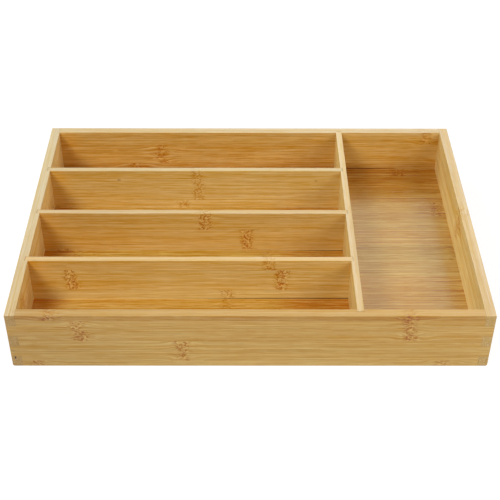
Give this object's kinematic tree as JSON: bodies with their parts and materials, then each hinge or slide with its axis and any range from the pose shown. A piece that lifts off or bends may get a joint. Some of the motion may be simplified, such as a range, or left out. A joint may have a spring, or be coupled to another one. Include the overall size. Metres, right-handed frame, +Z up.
{
  "type": "cutlery tray",
  "caption": "Shallow bamboo drawer tray with finger-jointed walls, equal long lanes for cutlery side by side and one wide compartment across the end, open at the top.",
  "frame": {"origin": "centre of the tray's footprint, on the surface that it stands on", "axes": "+X to the right along the width, towards the wide compartment; +Y from the front wall to the rear wall; +Z up"},
  "size_m": [0.356, 0.25, 0.0508],
  "materials": {
    "end_wall_bamboo": "satin clear lacquer on laminated bamboo, grain along X",
    "side_wall_bamboo": "satin clear lacquer on laminated bamboo, grain along Y",
    "panel_bamboo": "satin clear lacquer on bamboo board, grain along X",
    "cross_divider_bamboo": "satin clear lacquer on laminated bamboo, grain along Y",
    "lane_divider_bamboo": "satin clear lacquer on laminated bamboo, grain along X"
  },
  "bodies": {
    "root": {"front_wall": "end_wall_bamboo", "rear_wall": "end_wall_bamboo", "left_wall": "side_wall_bamboo", "right_wall": "side_wall_bamboo", "bottom_panel": "panel_bamboo", "cross_divider": "cross_divider_bamboo", "front_divider": "lane_divider_bamboo", "middle_divider": "lane_divider_bamboo", "rear_divider": "lane_divider_bamboo"}
  },
  "joints": []
}
